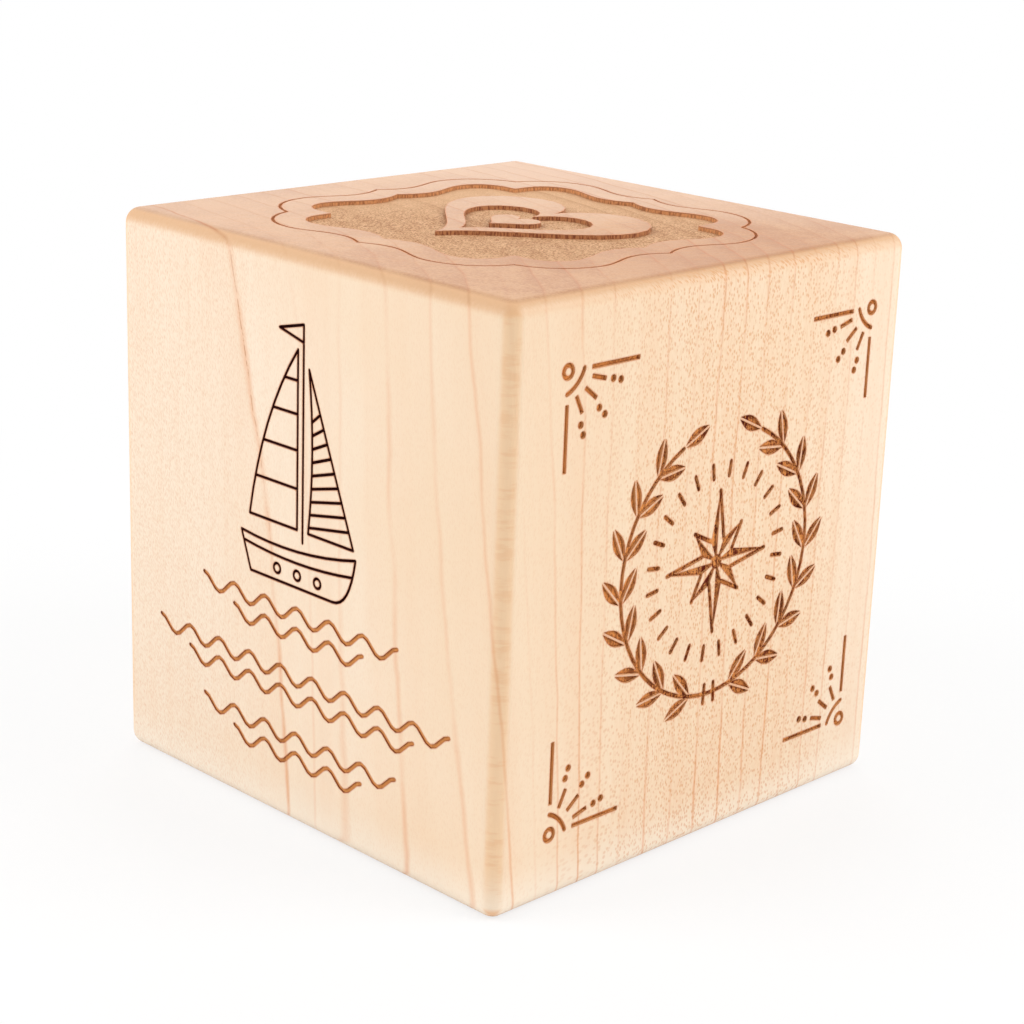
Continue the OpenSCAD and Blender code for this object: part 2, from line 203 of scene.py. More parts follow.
# %% [markdown]
# Writing a material like a sum
#
# A procedural material is a web of small nodes, and in code such a web soon drowns in links. The helpers
# below keep a recipe readable: each call adds one node, feeds it with numbers or with the results of
# earlier calls, and hands back its result. Colours are written as a colour picker shows them, and all
# lengths in the recipes are millimetres on the block.

# %% Colours
BRIGHTEST = 255


def shade(red, green, blue):
    """A colour as a colour picker shows it, from 0 to 255, turned into the light that Blender mixes."""
    picked = Color((red, green, blue)) / BRIGHTEST
    return (*picked.from_srgb_to_scene_linear(), 1.0)


print("white as light:", [round(channel, 2) for channel in shade(BRIGHTEST, BRIGHTEST, BRIGHTEST)])

# %% Sums with numbers and arrows
class NodeSums:
    """The nodes of one material that reckon with numbers, and with arrows in space."""

    def __init__(self, name):
        self.material = bpy.data.materials.new(name)
        self.material.use_nodes = True
        self.tree = self.material.node_tree
        self.finish = self.tree.nodes["Principled BSDF"]
        spot = self.tree.nodes.new("ShaderNodeTexCoord")
        self.place = self.arrow("SCALE", spot.outputs["Object"], scale=1 / MM)
        self.normal = spot.outputs["Normal"]

    def feed(self, socket, value):
        """Links the result of another call to a socket, or sets a plain number or colour there."""
        if isinstance(value, bpy.types.NodeSocket):
            self.tree.links.new(value, socket)
        else:
            socket.default_value = value

    def sum(self, operation, *values):
        """One step of arithmetic."""
        node = self.tree.nodes.new("ShaderNodeMath")
        node.operation = operation
        for socket, value in zip(node.inputs, values):
            self.feed(socket, value)
        return node.outputs[0]

    def arrow(self, operation, *values, scale=None):
        """One step with arrows. A length, a distance or a dot product comes back as a number."""
        node = self.tree.nodes.new("ShaderNodeVectorMath")
        node.operation = operation
        for socket, value in zip(node.inputs, values):
            self.feed(socket, value)
        if scale is not None:
            self.feed(node.inputs["Scale"], scale)
        return node.outputs["Value" if operation in ("LENGTH", "DISTANCE", "DOT_PRODUCT") else "Vector"]

    def parts(self, vector):
        """The x, y and z of an arrow."""
        node = self.tree.nodes.new("ShaderNodeSeparateXYZ")
        self.feed(node.inputs[0], vector)
        return tuple(node.outputs)

    def joined(self, x, y, z):
        """The arrow with this x, y and z."""
        node = self.tree.nodes.new("ShaderNodeCombineXYZ")
        for socket, value in zip(node.inputs, (x, y, z)):
            self.feed(socket, value)
        return node.outputs[0]

    def fade(self, value, start, end, low=0.0, high=1.0):
        """Goes smoothly from low, where the value is at start, to high, where it is at end."""
        node = self.tree.nodes.new("ShaderNodeMapRange")
        node.interpolation_type = "SMOOTHSTEP"
        for socket, number in zip(node.inputs, (value, start, end, low, high)):
            self.feed(socket, number)
        return node.outputs[0]


print("calls for sums:", [call for call in vars(NodeSums) if not call.startswith("_")])

# %% A recipe for one finish
NEAR_SAMPLES = 6
CLOUD_MIDDLE = 0.5
FINE = {"detail": 3.0, "roughness": 0.6}
SANDY = {"detail": 4.0, "roughness": 0.75}
# A mix node has sockets for every kind of value, and these are the places of those for colours.
FIRST_COLOUR = 6
SECOND_COLOUR = 7
MIXED_COLOUR = 2


class Recipe(NodeSums):
    """The same nodes, with patterns, colours and bumps as well."""

    def cloud(self, where, scale=1.0, detail=3.0, roughness=0.5):
        """Soft random blotches, from 0 to 1 and mostly near the middle."""
        node = self.tree.nodes.new("ShaderNodeTexNoise")
        self.feed(node.inputs["Vector"], where)
        node.inputs["Scale"].default_value = scale
        node.inputs["Detail"].default_value = detail
        node.inputs["Roughness"].default_value = roughness
        return node.outputs["Fac"]

    def swing(self, blotches):
        """The same blotches, moved so that their middle is 0."""
        return self.sum("SUBTRACT", blotches, CLOUD_MIDDLE)

    def cells(self, where):
        """Distance to the nearest of many scattered points, and a random number for that point."""
        node = self.tree.nodes.new("ShaderNodeTexVoronoi")
        self.feed(node.inputs["Vector"], where)
        node.inputs["Scale"].default_value = 1.0
        red = self.parts(node.outputs["Color"])[0]
        return node.outputs["Distance"], red

    def dice(self, number):
        """A random number from 0 to 1 that belongs to this number."""
        node = self.tree.nodes.new("ShaderNodeTexWhiteNoise")
        node.noise_dimensions = "1D"
        self.feed(node.inputs["W"], number)
        return node.outputs["Value"]

    def tint(self, share, colour, other):
        """The colour, with a share of the other one mixed in."""
        node = self.tree.nodes.new("ShaderNodeMix")
        node.data_type = "RGBA"
        self.feed(node.inputs["Factor"], share)
        self.feed(node.inputs[FIRST_COLOUR], colour)
        self.feed(node.inputs[SECOND_COLOUR], other)
        return node.outputs[MIXED_COLOUR]

    def near(self, reach, rim):
        """How close a sharp rim of the piece is, or else a wall of a neighbour, within this reach in mm."""
        node = self.tree.nodes.new("ShaderNodeAmbientOcclusion")
        node.inside = rim
        node.only_local = rim
        node.samples = NEAR_SAMPLES
        node.inputs["Distance"].default_value = reach * MM
        return self.sum("SUBTRACT", 1.0, node.outputs["AO"])

    def roughen(self, height, depth):
        """A bump of up to this depth in mm."""
        node = self.tree.nodes.new("ShaderNodeBump")
        node.inputs["Distance"].default_value = depth * MM
        self.feed(node.inputs["Height"], height)
        self.feed(self.finish.inputs["Normal"], node.outputs[0])


print("calls for patterns and colours:", [call for call in vars(Recipe) if not call.startswith("_")])

# %% [markdown]
# Growth rings
#
# A log grows a ring each year round its pith, and the late wood at the end of a year leaves a thin, darker
# line. Where the saw cuts across the rings, as on the right side of this block, the lines are straight and
# close; where it nearly follows them, as on the front, they are wide apart and wavy. Both come from one
# fact, the place of the pith: ring lines that close up from left to right on the front put it in front of
# the block's left edge. So the recipe measures each point's distance from that upright axis. The tree
# leaned a little there, so the lines on the front drift to the right on their way down.

# %% Rings round the pith
PITH = (-44.7, -129.0, 0.0)
FIRST_RING = 90.4
RING_STEP = 5.6
RING_CROWDING = 0.0018
RING_WAVE = 3.0
RING_WAVE_SCALE = 0.05
ALONG_GRAIN = 0.22
RING_WIGGLE = 0.8
RING_WIGGLE_SCALE = 0.1

LEAN_CENTRE = 9.6
LEAN_BASE = 2.0
LEAN_LEFT = 1.2
LEAN_RIGHT = 0.35
LEAN_REACH = 16.0
LEAN_DEPTH = 30.0

TOP_MM = block_high.z / MM
FRONT_MM = block_low.y / MM


def leaning(recipe, x, y, z):
    """How far the rings near the front have drifted to the right at this height."""
    fallen = recipe.sum("DIVIDE", recipe.sum("SUBTRACT", TOP_MM, z), TOP_MM)
    left = recipe.sum("SUBTRACT", LEAN_CENTRE, x)
    left = recipe.sum("MINIMUM", recipe.sum("MAXIMUM", left, 0.0), LEAN_REACH)
    right = recipe.sum("MAXIMUM", recipe.sum("SUBTRACT", x, LEAN_CENTRE), 0.0)
    drift = recipe.sum("MULTIPLY_ADD", left, LEAN_LEFT, LEAN_BASE)
    drift = recipe.sum("MULTIPLY_ADD", right, LEAN_RIGHT, drift)
    near_front = recipe.fade(y, FRONT_MM, FRONT_MM + LEAN_DEPTH, 1.0, 0.0)
    return recipe.sum("MULTIPLY", recipe.sum("MULTIPLY", fallen, drift), near_front)


def growth(recipe):
    """Ring count at each point, and the arrow from the pith to it."""
    x, y, z = recipe.parts(recipe.place)
    shifted = recipe.joined(recipe.sum("SUBTRACT", x, leaning(recipe, x, y, z)), y, 0.0)
    from_pith = recipe.arrow("SUBTRACT", shifted, PITH)
    stretched = recipe.arrow("MULTIPLY", recipe.place, (1, 1, ALONG_GRAIN))
    wave = recipe.swing(recipe.cloud(stretched, RING_WAVE_SCALE))
    distance = recipe.sum("MULTIPLY_ADD", wave, RING_WAVE, recipe.arrow("LENGTH", from_pith))
    wiggle = recipe.swing(recipe.cloud(recipe.place, RING_WIGGLE_SCALE))
    distance = recipe.sum("MULTIPLY_ADD", wiggle, RING_WIGGLE, distance)
    past_first = recipe.sum("SUBTRACT", distance, FIRST_RING)
    crowding = recipe.sum("MULTIPLY_ADD", past_first, RING_CROWDING, 1.0)
    return recipe.sum("MULTIPLY", recipe.sum("DIVIDE", past_first, RING_STEP), crowding), from_pith


print("rings across the block:", round(block_size.length / MM / RING_STEP))

# %% Late wood lines
LINE_HALF = 0.2
LINE_SOFT_HALF = 0.45
GRAZING = 0.12
FAINTEST_LINE = 0.15
# This number alone decides which rings are strong and which are faint.
RING_LUCK = 228
STRETCH_SCALE = 0.06
STRETCH_TURN = (0.3, 0.6)
FAINTEST_STRETCH = 0.3
DASH_SIZE = (0.5, 0.5, 0.75)
DASH_TURN = (0.42, 0.58)
LATE_CURVE = 2.5


def ring_strength(recipe, rings):
    """How strong the nearest ring is: each has its own strength, with fainter stretches."""
    luck = recipe.dice(recipe.sum("ADD", recipe.sum("ROUND", rings), RING_LUCK))
    stretch = recipe.fade(recipe.cloud(recipe.place, STRETCH_SCALE), *STRETCH_TURN, FAINTEST_STRETCH, 1.0)
    return recipe.sum("MULTIPLY", recipe.fade(luck, 0.0, 1.0, FAINTEST_LINE, 1.0), stretch)


def late_wood(recipe, rings, strength):
    """The wood that darkens towards the end of each ring."""
    late = recipe.sum("POWER", recipe.sum("FRACT", rings), LATE_CURVE)
    return recipe.sum("MULTIPLY", strength, late)


def ring_ends(recipe, rings, from_pith, strength):
    """The dashes and the soft line that end each ring."""
    off = recipe.sum("ABSOLUTE", recipe.sum("SUBTRACT", rings, recipe.sum("ROUND", rings)))
    off = recipe.sum("MULTIPLY", off, RING_STEP)
    soft = recipe.fade(off, 0.0, LINE_SOFT_HALF, 1.0, 0.0)

    facing_out = recipe.arrow("DOT_PRODUCT", recipe.normal, recipe.arrow("NORMALIZE", from_pith))
    square_cut = recipe.sum("SUBTRACT", 1.0, recipe.sum("MULTIPLY", facing_out, facing_out))
    square_cut = recipe.sum("MAXIMUM", recipe.sum("SQRT", square_cut), GRAZING)
    dashes = recipe.fade(recipe.sum("DIVIDE", off, square_cut), 0.0, LINE_HALF, 1.0, 0.0)
    broken = recipe.cloud(recipe.arrow("MULTIPLY", recipe.place, DASH_SIZE), **FINE)
    dashes = recipe.sum("MULTIPLY", dashes, recipe.fade(broken, *DASH_TURN))
    return [recipe.sum("MULTIPLY", strength, layer) for layer in (dashes, soft)]


def ring_at(corner):
    """Ring count at an upright edge of the block, worked out as the recipe does but without the wave."""
    past_first = (corner.xy / MM - Vector(PITH[:2])).length - FIRST_RING
    return past_first / RING_STEP * (1 + past_first * RING_CROWDING)


front_left = Vector((block_low.x, block_low.y, 0))
front_right = Vector((block_high.x, block_low.y, 0))
back_right = Vector((block_high.x, block_high.y, 0))
print("ring lines on the front:", round(ring_at(front_right) - ring_at(front_left)))
print("ring lines on the right side:", round(ring_at(back_right) - ring_at(front_right)))

# %% [markdown]
# Fibres and rays
#
# Close up, maple is full of fine upright fibres, and of rays: thin sheets of cells that run outwards from
# the pith, each less than a millimetre tall. Cut edge on they are tiny upright flecks, closer together in
# soft streaks, and where a surface happens to follow them they melt into wider rungs, which is what the
# rounded front edge of this block shows. Painting flecks face by face would never agree at the edges.
# Scattered points in stretched space do, if the stretching follows the rays: long outwards, thin across
# and short in height.

# %% Fibres and streaks
FIBRE_ACROSS = 3.0
FIBRE_ALONG = 0.7
STREAK_SIZE = (0.55, 0.55, 0.02)
RUNG_SIZE = (0.18, 0.18, 1.0)


def fibres(recipe):
    """Threads a third of a millimetre wide and a few times as tall."""
    thread = recipe.arrow("MULTIPLY", recipe.place, (1, 1, FIBRE_ALONG / FIBRE_ACROSS))
    return recipe.cloud(thread, FIBRE_ACROSS, **FINE)


def streaks(recipe):
    """Soft upright bands about two millimetres wide."""
    return recipe.cloud(recipe.arrow("MULTIPLY", recipe.place, STREAK_SIZE))


def rungs(recipe):
    """Short level bars about a millimetre tall."""
    return recipe.cloud(recipe.arrow("MULTIPLY", recipe.place, RUNG_SIZE), **FINE)


print("a streak is about", round(1 / STREAK_SIZE[0], 1), "mm wide")
print("a rung is about", round(1 / RUNG_SIZE[2], 1), "mm tall")

# %% Rays
RAY_OUTWARD = 4.0
RAY_ACROSS = 0.19
RAY_HEIGHT = 0.72
RAY_EDGE = (0.2, 0.5)
CROWD_TURN = (0.35, 0.65)
FEWEST_RAYS = 0.8
MEAN_RADIUS = 130.0


def ray_flecks(recipe, from_pith, streak):
    """Thin flecks that stand along the rays, closer together in the streaks."""
    dx, dy, _ = recipe.parts(from_pith)
    z = recipe.parts(recipe.place)[2]
    outward = recipe.sum("DIVIDE", recipe.arrow("LENGTH", from_pith), RAY_OUTWARD)
    across = recipe.sum("MULTIPLY", recipe.sum("ARCTAN2", dy, dx), MEAN_RADIUS / RAY_ACROSS)
    height = recipe.sum("DIVIDE", z, RAY_HEIGHT)
    distance, lot = recipe.cells(recipe.joined(outward, across, height))
    fleck = recipe.fade(distance, *RAY_EDGE, 1.0, 0.0)
    crowd = recipe.fade(streak, *CROWD_TURN, FEWEST_RAYS, 1.0)
    return recipe.sum("MULTIPLY", fleck, recipe.sum("LESS_THAN", lot, crowd))


def follows_rays(recipe, from_pith):
    """1 where the surface lies along the rays, and 0 where it cuts straight across them."""
    dx, dy, _ = recipe.parts(from_pith)
    across = recipe.joined(recipe.sum("MULTIPLY", dy, -1.0), dx, 0.0)
    facing = recipe.arrow("DOT_PRODUCT", recipe.normal, recipe.arrow("NORMALIZE", across))
    return recipe.sum("MULTIPLY", facing, facing)


print("a fleck is about", round(RAY_EDGE[1] * RAY_HEIGHT * 2, 2), "mm tall")

# %% [markdown]
# Where am I on the block?
#
# Some places on a block need their own colour: the rounded edges and corners, which the cutter burnishes,
# and the walls of the engravings, which are burnt. All can be told from the position alone. The
# distance from a point to the surface of a rounded block has a short formula, and a point that lies deeper
# than the sanded surface can only be on the wall of an engraving. Position also says how lively the
# grain is: hardly at all along the front edge, and most in the middle of the right side.

# %% Depth and edges
EDGE_ROUND = 2.4


def block_shape(recipe):
    """Depth below the rounded surface, and how far round an upright edge and a corner a point is, in mm."""
    half = block_size / 2 / MM
    middle = tuple(block_middle / MM)
    core = tuple(side - EDGE_ROUND for side in half)
    beyond = recipe.arrow("ABSOLUTE", recipe.arrow("SUBTRACT", recipe.place, middle))
    beyond = recipe.arrow("SUBTRACT", beyond, core)
    x, y, z = recipe.parts(beyond)
    outside = recipe.arrow("LENGTH", recipe.arrow("MAXIMUM", beyond, (0, 0, 0)))
    inside = recipe.sum("MINIMUM", recipe.sum("MAXIMUM", recipe.sum("MAXIMUM", x, y), z), 0.0)
    depth = recipe.sum("SUBTRACT", EDGE_ROUND, recipe.sum("ADD", outside, inside))
    edge = recipe.sum("MINIMUM", x, y)
    return depth, edge, recipe.sum("MINIMUM", edge, z)


print("flat part of the front in mm:", round(block_size.x / MM - 2 * EDGE_ROUND, 1))

# %% Lively and calm wood
LIVELY_RISE = (6.0, 42.0)
LIVELY_FALL = (62.0, 84.0)
QUIET_NEAR = 0.14
QUIET_FAR = 0.24
FRONT_TURN = (-28.0, 8.0)
FRONT_LIVELY = (0.42, 0.1)
FRONT_DEPTH = 4.0


def liveliness(recipe):
    """How strong the grain is: most in the middle of the right side, and on the front only at its left."""
    corner = (block_high.x / MM, FRONT_MM, 0)
    away = recipe.arrow("DISTANCE", recipe.arrow("MULTIPLY", recipe.place, (1, 1, 0)), corner)
    rise = recipe.fade(away, *LIVELY_RISE, QUIET_NEAR, 1.0)
    sides = recipe.sum("MULTIPLY", rise, recipe.fade(away, *LIVELY_FALL, 1.0, QUIET_FAR))
    x, y, _ = recipe.parts(recipe.place)
    front = recipe.fade(x, *FRONT_TURN, *FRONT_LIVELY)
    off_front = recipe.fade(y, FRONT_MM, FRONT_MM + FRONT_DEPTH)
    change = recipe.sum("MULTIPLY", recipe.sum("SUBTRACT", sides, front), off_front)
    return recipe.sum("ADD", front, change)


print("lively from", LIVELY_RISE[1], "to", LIVELY_FALL[0], "mm away from the front edge")

# %% [markdown]
# Maple
#
# The maple's colour is built in layers, as it is in the tree. Side grain is pale cream with pinker years,
# soft streaks and fine specks, tan with orange rungs where the front edge was rounded, lighter towards the
# left and the back with painted light, and palest along the foot, where painted light stands in for light
# from the floor. End grain drinks light, so the faces that look up or down are darker and pinker; painted
# light and sheen make the top paler towards the left and the back, and its roundings are a lighter tan that
# is partly painted sheen. Ring lines and flecks lie over both, and the lines are strongest low down. Each
# layer is one tint over the last, so one layer can be changed or taken away without touching the others.

# %% Side grain
CREAM = shade(251, 232, 209)
WARM_CREAM = shade(247, 220, 188)
LATE_PINK = shade(242, 196, 156)
SPECK = shade(230, 190, 142)
EDGE_TAN = shade(249, 212, 171)
# Painted light: a paler cream near the foot stands in for light bounced from the white floor.
PAINTED_BOUNCE_CREAM = shade(254, 242, 224)
# Side grain goes from warm cream to cream partly by a random patch and partly by painted light, lighter
# towards the left and the back.
PAINTED_LIGHT_TURN = (70.0, -50.0)
PAINTED_LIGHT_BACK = (5.0, 50.0)
PAINTED_LIGHT_BACK_SHARE = 0.7
PATCH_SCALE = 0.03
YEAR_SCALE = 1.1
YEAR_TURN = (0.35, 0.7)
YEAR_SHARE = 0.2
LATE_SHARE = 0.2
STREAK_TURN = (0.42, 0.68)
STREAK_SHARE = 0.24
SPECK_TURN = (0.42, 0.72)
SPECK_SHARE = 0.45
EDGE_TURN = (0.1, 1.0)
PAINTED_BOUNCE_TURN = (9.0, 0.0)
PAINTED_BOUNCE_SHARE = 0.75


def side_grain(wood, rings, late, bands, specks, edge):
    """Pale wood with pinker years, soft streaks and fine specks, tan upright edges, painted light towards
    the left and back, and a paler foot of painted floor light.
    """
    x, y, z = wood.parts(wood.place)
    patch = wood.swing(wood.cloud(wood.place, PATCH_SCALE))
    # Painted light: lighter towards the left and the back, with a random patch added.
    pale = wood.sum("ADD", wood.fade(x, *PAINTED_LIGHT_TURN), patch)
    pale = wood.sum("ADD", wood.fade(y, *PAINTED_LIGHT_BACK, 0.0, PAINTED_LIGHT_BACK_SHARE), pale)
    colour = wood.tint(wood.fade(pale, 0.0, 1.0), WARM_CREAM, CREAM)
    year = wood.cloud(wood.joined(rings, 0.0, 0.0), YEAR_SCALE)
    colour = wood.tint(wood.fade(year, *YEAR_TURN, 0.0, YEAR_SHARE), colour, LATE_PINK)
    colour = wood.tint(wood.sum("MULTIPLY", late, LATE_SHARE), colour, LATE_PINK)
    colour = wood.tint(wood.sum("MULTIPLY", bands, STREAK_SHARE), colour, LATE_PINK)
    colour = wood.tint(wood.sum("MULTIPLY", specks, SPECK_SHARE), colour, SPECK)
    colour = wood.tint(wood.fade(edge, *EDGE_TURN), colour, EDGE_TAN)
    # Painted light from the floor: the sides turn paler towards the foot.
    return wood.tint(wood.fade(z, *PAINTED_BOUNCE_TURN, 0.0, PAINTED_BOUNCE_SHARE), colour, PAINTED_BOUNCE_CREAM)


print("side grain goes from warm cream at", PAINTED_LIGHT_TURN[0], "mm to cream at", PAINTED_LIGHT_TURN[1], "mm")

# %% Burnished edges
RUNG_ORANGE = shade(236, 176, 122)
CORNER_ORANGE = shade(238, 180, 124)
RUNG_TURN = (0.46, 0.64)
RUNG_SHARE = 0.32
CORNER_TURN = (0.2, 1.2)
CORNER_SHARE = 0.7


def burnished(wood, colour, edge, corner, lying):
    """Orange rungs where the rounded edge follows the rays, and orange corners."""
    rung = wood.sum("MULTIPLY", wood.fade(rungs(wood), *RUNG_TURN, 0.0, RUNG_SHARE), lying)
    rung = wood.sum("MULTIPLY", rung, wood.fade(edge, *EDGE_TURN))
    colour = wood.tint(rung, colour, RUNG_ORANGE)
    return wood.tint(wood.fade(corner, *CORNER_TURN, 0.0, CORNER_SHARE), colour, CORNER_ORANGE)


print("corners are orange from", CORNER_TURN[1], "mm round the edge")

# %% End grain
END_GRAIN = shade(202, 155, 114)
END_PINK = shade(180, 127, 88)
END_PAINTED_LIGHT = shade(224, 193, 168)
# Lighter tan of the roundings: partly the end grain's own colour, partly painted sheen.
END_ROUND_AND_SHEEN = shade(229, 184, 140)
END_SAND_SCALE = 2.4
END_SAND = 0.8
END_PATCH_SCALE = 0.07
END_LATE = 0.25
END_MOTTLE = (0.3, 0.8)
# Painted light and sheen: the end grain is paler towards the left and towards the back.
END_PAINTED_LIGHT_TURN = (40.0, -45.0)
END_PAINTED_LIGHT_SHARE = 0.42
END_PAINTED_LIGHT_BACK = (0.0, 45.0)
END_PAINTED_LIGHT_BACK_SHARE = 0.25
WARM_SPOT = (block_high.x / MM, 5.0, TOP_MM)
WARM_REACH = (40.0, 6.0)
WARM_SHARE = 0.55
ROUND_SHEEN_TURN = (0.8, 0.98)
ROUND_SHEEN_SHARE = 0.8


def end_grain(wood, late, up):
    """Pinkish tan wood in soft bands, warmer at the right, with painted light and sheen towards the left
    and back, and a lighter tan on the roundings that is partly painted sheen.
    """
    sand = wood.swing(wood.cloud(wood.place, END_SAND_SCALE, **FINE))
    blotch = wood.sum("MULTIPLY_ADD", sand, END_SAND, wood.cloud(wood.place, END_PATCH_SCALE, **FINE))
    blotch = wood.sum("MULTIPLY_ADD", late, END_LATE, blotch)
    colour = wood.tint(wood.fade(blotch, *END_MOTTLE), END_GRAIN, END_PINK)
    x, y, _ = wood.parts(wood.place)
    # Painted light from the left and painted sheen towards the back.
    pale = wood.fade(x, *END_PAINTED_LIGHT_TURN, 0.0, END_PAINTED_LIGHT_SHARE)
    pale = wood.sum("ADD", pale, wood.fade(y, *END_PAINTED_LIGHT_BACK, 0.0, END_PAINTED_LIGHT_BACK_SHARE))
    from_spot = wood.arrow("DISTANCE", wood.place, WARM_SPOT)
    warm = wood.fade(from_spot, *WARM_REACH, 0.0, WARM_SHARE)
    colour = wood.tint(wood.sum("SUBTRACT", pale, warm), colour, END_PAINTED_LIGHT)
    colour = wood.tint(warm, colour, END_PINK)
    # Partly painted sheen: the roundings are lighter than the flat end grain.
    rounded = wood.fade(wood.sum("ABSOLUTE", up), *ROUND_SHEEN_TURN, ROUND_SHEEN_SHARE, 0.0)
    return wood.tint(rounded, colour, END_ROUND_AND_SHEEN)


print("warmest end grain at mm:", [round(side, 1) for side in WARM_SPOT])

# %% Where end grain shows
END_FRAY = 0.25
END_TURN = (0.38, 0.92)
FRONT_SPILL = 0.36
BOTTOM_TURN = (-0.5, -0.9)


def end_share(wood, fibre):
    """1 on the top and the base and 0 on the sides, with a frayed change that spills over to the front."""
    _, forward, up = wood.parts(wood.normal)
    frayed = wood.sum("MULTIPLY_ADD", wood.swing(fibre), END_FRAY, up)
    frayed = wood.sum("MULTIPLY_ADD", wood.sum("MINIMUM", forward, 0.0), -FRONT_SPILL, frayed)
    return wood.sum("MAXIMUM", wood.fade(frayed, *END_TURN), wood.fade(up, *BOTTOM_TURN))


print("side grain turns to end grain at a slope from", END_TURN[0], "to", END_TURN[1])

# %% Ring lines over the wood
RING_BROWN = shade(186, 110, 60)
RING_ORANGE = shade(232, 160, 106)
SOFT_LINE_TURN = (0.2, 0.8)
SOFT_LINE_SHARES = (0.4275, 0.45)
LOW_LINE_TURN = (60.0, 15.0)
LOW_LINE_GAIN = 1.7
DASHES_TURN = (0.04, 0.42)
END_DASH_LOSS = 0.6
SIDE_DASH_LOSS = 0.6


def ring_lines(wood, colour, dashes, soft, lively, ends):
    """Soft orange lines, strongest low down, and brown dashes where the wood is lively."""
    height = wood.parts(wood.place)[2]
    soft_share = wood.fade(lively, *SOFT_LINE_TURN, *SOFT_LINE_SHARES)
    soft_share = wood.sum("MULTIPLY", soft_share, wood.fade(height, *LOW_LINE_TURN, 1.0, LOW_LINE_GAIN))
    line = wood.tint(ends, RING_ORANGE, RING_BROWN)
    colour = wood.tint(wood.sum("MULTIPLY", soft, soft_share), colour, line)

    sideways = wood.parts(wood.normal)[0]
    sideways = wood.sum("MULTIPLY", sideways, sideways)
    dash_share = wood.sum("MULTIPLY_ADD", ends, -END_DASH_LOSS, 1.0)
    dash_share = wood.sum("MULTIPLY_ADD", sideways, -SIDE_DASH_LOSS, dash_share)
    dash_share = wood.sum("MULTIPLY", dash_share, wood.fade(lively, *DASHES_TURN))
    return wood.tint(wood.sum("MULTIPLY", dashes, dash_share), colour, RING_BROWN)


print("ring lines are", LOW_LINE_GAIN, "times as strong below", LOW_LINE_TURN[1], "mm")

# %% Flecks over the wood
FLECK_TAN = shade(218, 144, 74)
FLECK_SHARE = 0.9
FLAT_RAY_LOSS = 0.85
END_RAY_LOSS = 0.7


def flecked(wood, colour, flecks, lively, lying, ends):
    """Tan flecks in lively wood, weaker where the surface follows the rays and on end grain."""
    share = wood.sum("MULTIPLY", flecks, lively)
    flat = wood.sum("MULTIPLY", lying, lying)
    share = wood.sum("MULTIPLY", share, wood.sum("MULTIPLY_ADD", flat, -FLAT_RAY_LOSS, 1.0))
    share = wood.sum("MULTIPLY", share, wood.sum("MULTIPLY_ADD", ends, -END_RAY_LOSS, 1.0))
    return wood.tint(wood.sum("MULTIPLY", share, FLECK_SHARE), colour, FLECK_TAN)


print("most tan in a fleck:", FLECK_SHARE)

# %% [markdown]
# Burnt walls
#
# The walls of an engraving belong to the block and not to the charred skin on its floor, and at this
# viewing angle they fill more than half of every thin stroke. So the maple recipe colours them as well:
# mottled brown in the ornaments, deep red-brown in the ripples, nearly black in the drawing, and golden
# brown with dark threads round the plaque. Splitting the block's mesh for this would break the solid, but
# the place of a point is enough to tell them apart.

# %% Wall colours
# The light golden of the ornament walls is partly the burn's own colour and partly painted light.
WALL_BURN_AND_LIGHT = shade(238, 186, 124)
WALL_CHAR = shade(150, 74, 32)
ROW_BURN = shade(156, 58, 18)
ROW_CHAR = shade(92, 16, 2)
DRAWN_CHAR = shade(80, 16, 8)
PLAQUE_WALL = shade(228, 164, 108)
PLAQUE_CHAR = shade(112, 44, 16)
CHAR_TURN = (0.42, 0.62)
DRAWING_FOOT = (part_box("boat_hull_skin")[0].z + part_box("upper_ripples_skin")[1].z) / 2 / MM
DRAWING_REACH = 1.5
PLAQUE_REACH = 2.0
PLAQUE_TURN = (20.0, 30.0)
PLAQUE_SHARES = (0.42, 0.08)
PLAQUE_MOTTLE = 0.5
PLAQUE_RIM = 0.35
PLAQUE_RIM_SHARE = 0.8


def burnt_walls(wood, lively, fibre):
    """The colour of the wall of an engraving at this place, whose light golden in the ornaments is partly
    painted light.
    """
    x, y, z = wood.parts(wood.place)
    charred = wood.fade(fibre, *CHAR_TURN)
    colour = wood.tint(wood.sum("MULTIPLY", charred, lively), WALL_BURN_AND_LIGHT, WALL_CHAR)

    near_front = wood.sum("LESS_THAN", y, FRONT_MM + DRAWING_REACH)
    colour = wood.tint(near_front, colour, wood.tint(charred, ROW_BURN, ROW_CHAR))
    drawn = wood.sum("MULTIPLY", wood.sum("GREATER_THAN", z, DRAWING_FOOT), near_front)
    colour = wood.tint(drawn, colour, DRAWN_CHAR)

    from_middle = wood.arrow("LENGTH", wood.joined(x, y, 0.0))
    inner = wood.fade(from_middle, *PLAQUE_TURN, *PLAQUE_SHARES)
    inner = wood.sum("MULTIPLY_ADD", charred, PLAQUE_MOTTLE, inner)
    rim = wood.fade(z, TOP_MM - PLAQUE_RIM, TOP_MM, 0.0, PLAQUE_RIM_SHARE)
    plaque = wood.tint(wood.sum("MAXIMUM", inner, rim), PLAQUE_WALL, PLAQUE_CHAR)
    return wood.tint(wood.sum("GREATER_THAN", z, TOP_MM - PLAQUE_REACH), colour, plaque)


print("the drawing stands above", round(DRAWING_FOOT, 1), "mm, the ripples below it")

# %% [markdown]
# The whole maple
#
# Now the layers come together. Side grain and end grain are mixed by the way that a surface faces, and the
# lines and flecks are laid over them. Every sharp rim of an engraving gets a thin scorched halo, and
# whatever lies below the sanded surface is a wall and takes the burnt colours. The fibres also give the
# surface its small bumps and its uneven shine, which is dullest on end grain.

